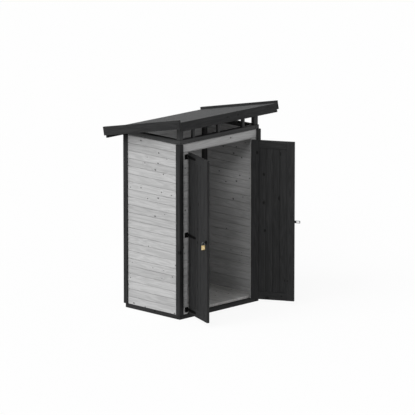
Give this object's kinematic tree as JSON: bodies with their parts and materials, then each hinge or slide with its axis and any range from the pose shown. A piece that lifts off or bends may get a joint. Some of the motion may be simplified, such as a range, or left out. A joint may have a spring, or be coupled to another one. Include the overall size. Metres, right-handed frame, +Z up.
{
  "type": "tool shed",
  "caption": "Small timber tool shed with horizontal boarding, hinged double doors, a pent roof that falls to the back and an open ventilation gap under the eaves.",
  "frame": {"origin": "middle of the footprint at the ground, on the underside of the middle floor bearer", "axes": "+X along the front to the right as seen from the front, +Y to the back, +Z up; the doors face -Y"},
  "size_m": [1.509, 1.487, 2.2126],
  "materials": {
    "light_boards": "light grey stained boards",
    "floor_boards": "light grey stained floor boards",
    "frame_timber": "grey stained frame timber",
    "dark_boards": "anthracite stained boards",
    "roof_felt": "grey mineral roofing felt",
    "black_hardware": "black powder coated steel",
    "brass": "plain brass",
    "bright_steel": "zinc plated steel"
  },
  "bodies": {
    "shed": {"plinth_front": "dark_boards", "plinth_back": "dark_boards", "plinth_left": "dark_boards", "plinth_right": "dark_boards", "floor_bearer": "floor_boards", "floor": "floor_boards", "left_wall": "light_boards", "right_wall": "light_boards", "back_wall": "light_boards", "front_wall_left": "light_boards", "front_wall_right": "light_boards", "front_lintel": "light_boards", "corner_posts": "frame_timber", "door_posts": "light_boards", "door_header": "light_boards", "trim_front_left": "dark_boards", "trim_front_right": "dark_boards", "trim_back_left": "dark_boards", "trim_back_right": "dark_boards", "rail_front": "frame_timber", "rail_back": "frame_timber", "rail_left": "frame_timber", "rail_right": "frame_timber", "roof_posts": "frame_timber", "vent_studs": "frame_timber", "vent_header": "frame_timber", "rafters": "frame_timber", "roof_deck": "frame_timber", "roof_felt": "roof_felt", "front_fascia": "dark_boards", "back_fascia": "dark_boards", "left_barge_board": "dark_boards", "right_barge_board": "dark_boards", "left_hinge_plates": "black_hardware", "right_hinge_plates": "black_hardware"},
    "left_door": {"left_door_frame": "dark_boards", "left_door_panel": "dark_boards", "left_hinge_straps": "black_hardware", "staple": "black_hardware", "padlock_body": "brass", "padlock_shackle": "bright_steel"},
    "right_door": {"right_door_frame": "dark_boards", "right_door_panel": "dark_boards", "right_hinge_straps": "black_hardware", "hasp": "bright_steel"}
  },
  "joints": [
    {"name": "left_door_hinge", "type": "hinge", "parent": "shed", "child": "left_door", "pos_m": [-0.4865, -0.416, 0.928], "axis": [0, 0, -1], "range_deg": [-111, 49]},
    {"name": "right_door_hinge", "type": "hinge", "parent": "shed", "child": "right_door", "pos_m": [0.4865, -0.416, 0.928], "axis": [0, 0, 1], "range_deg": [-119, 41]}
  ]
}
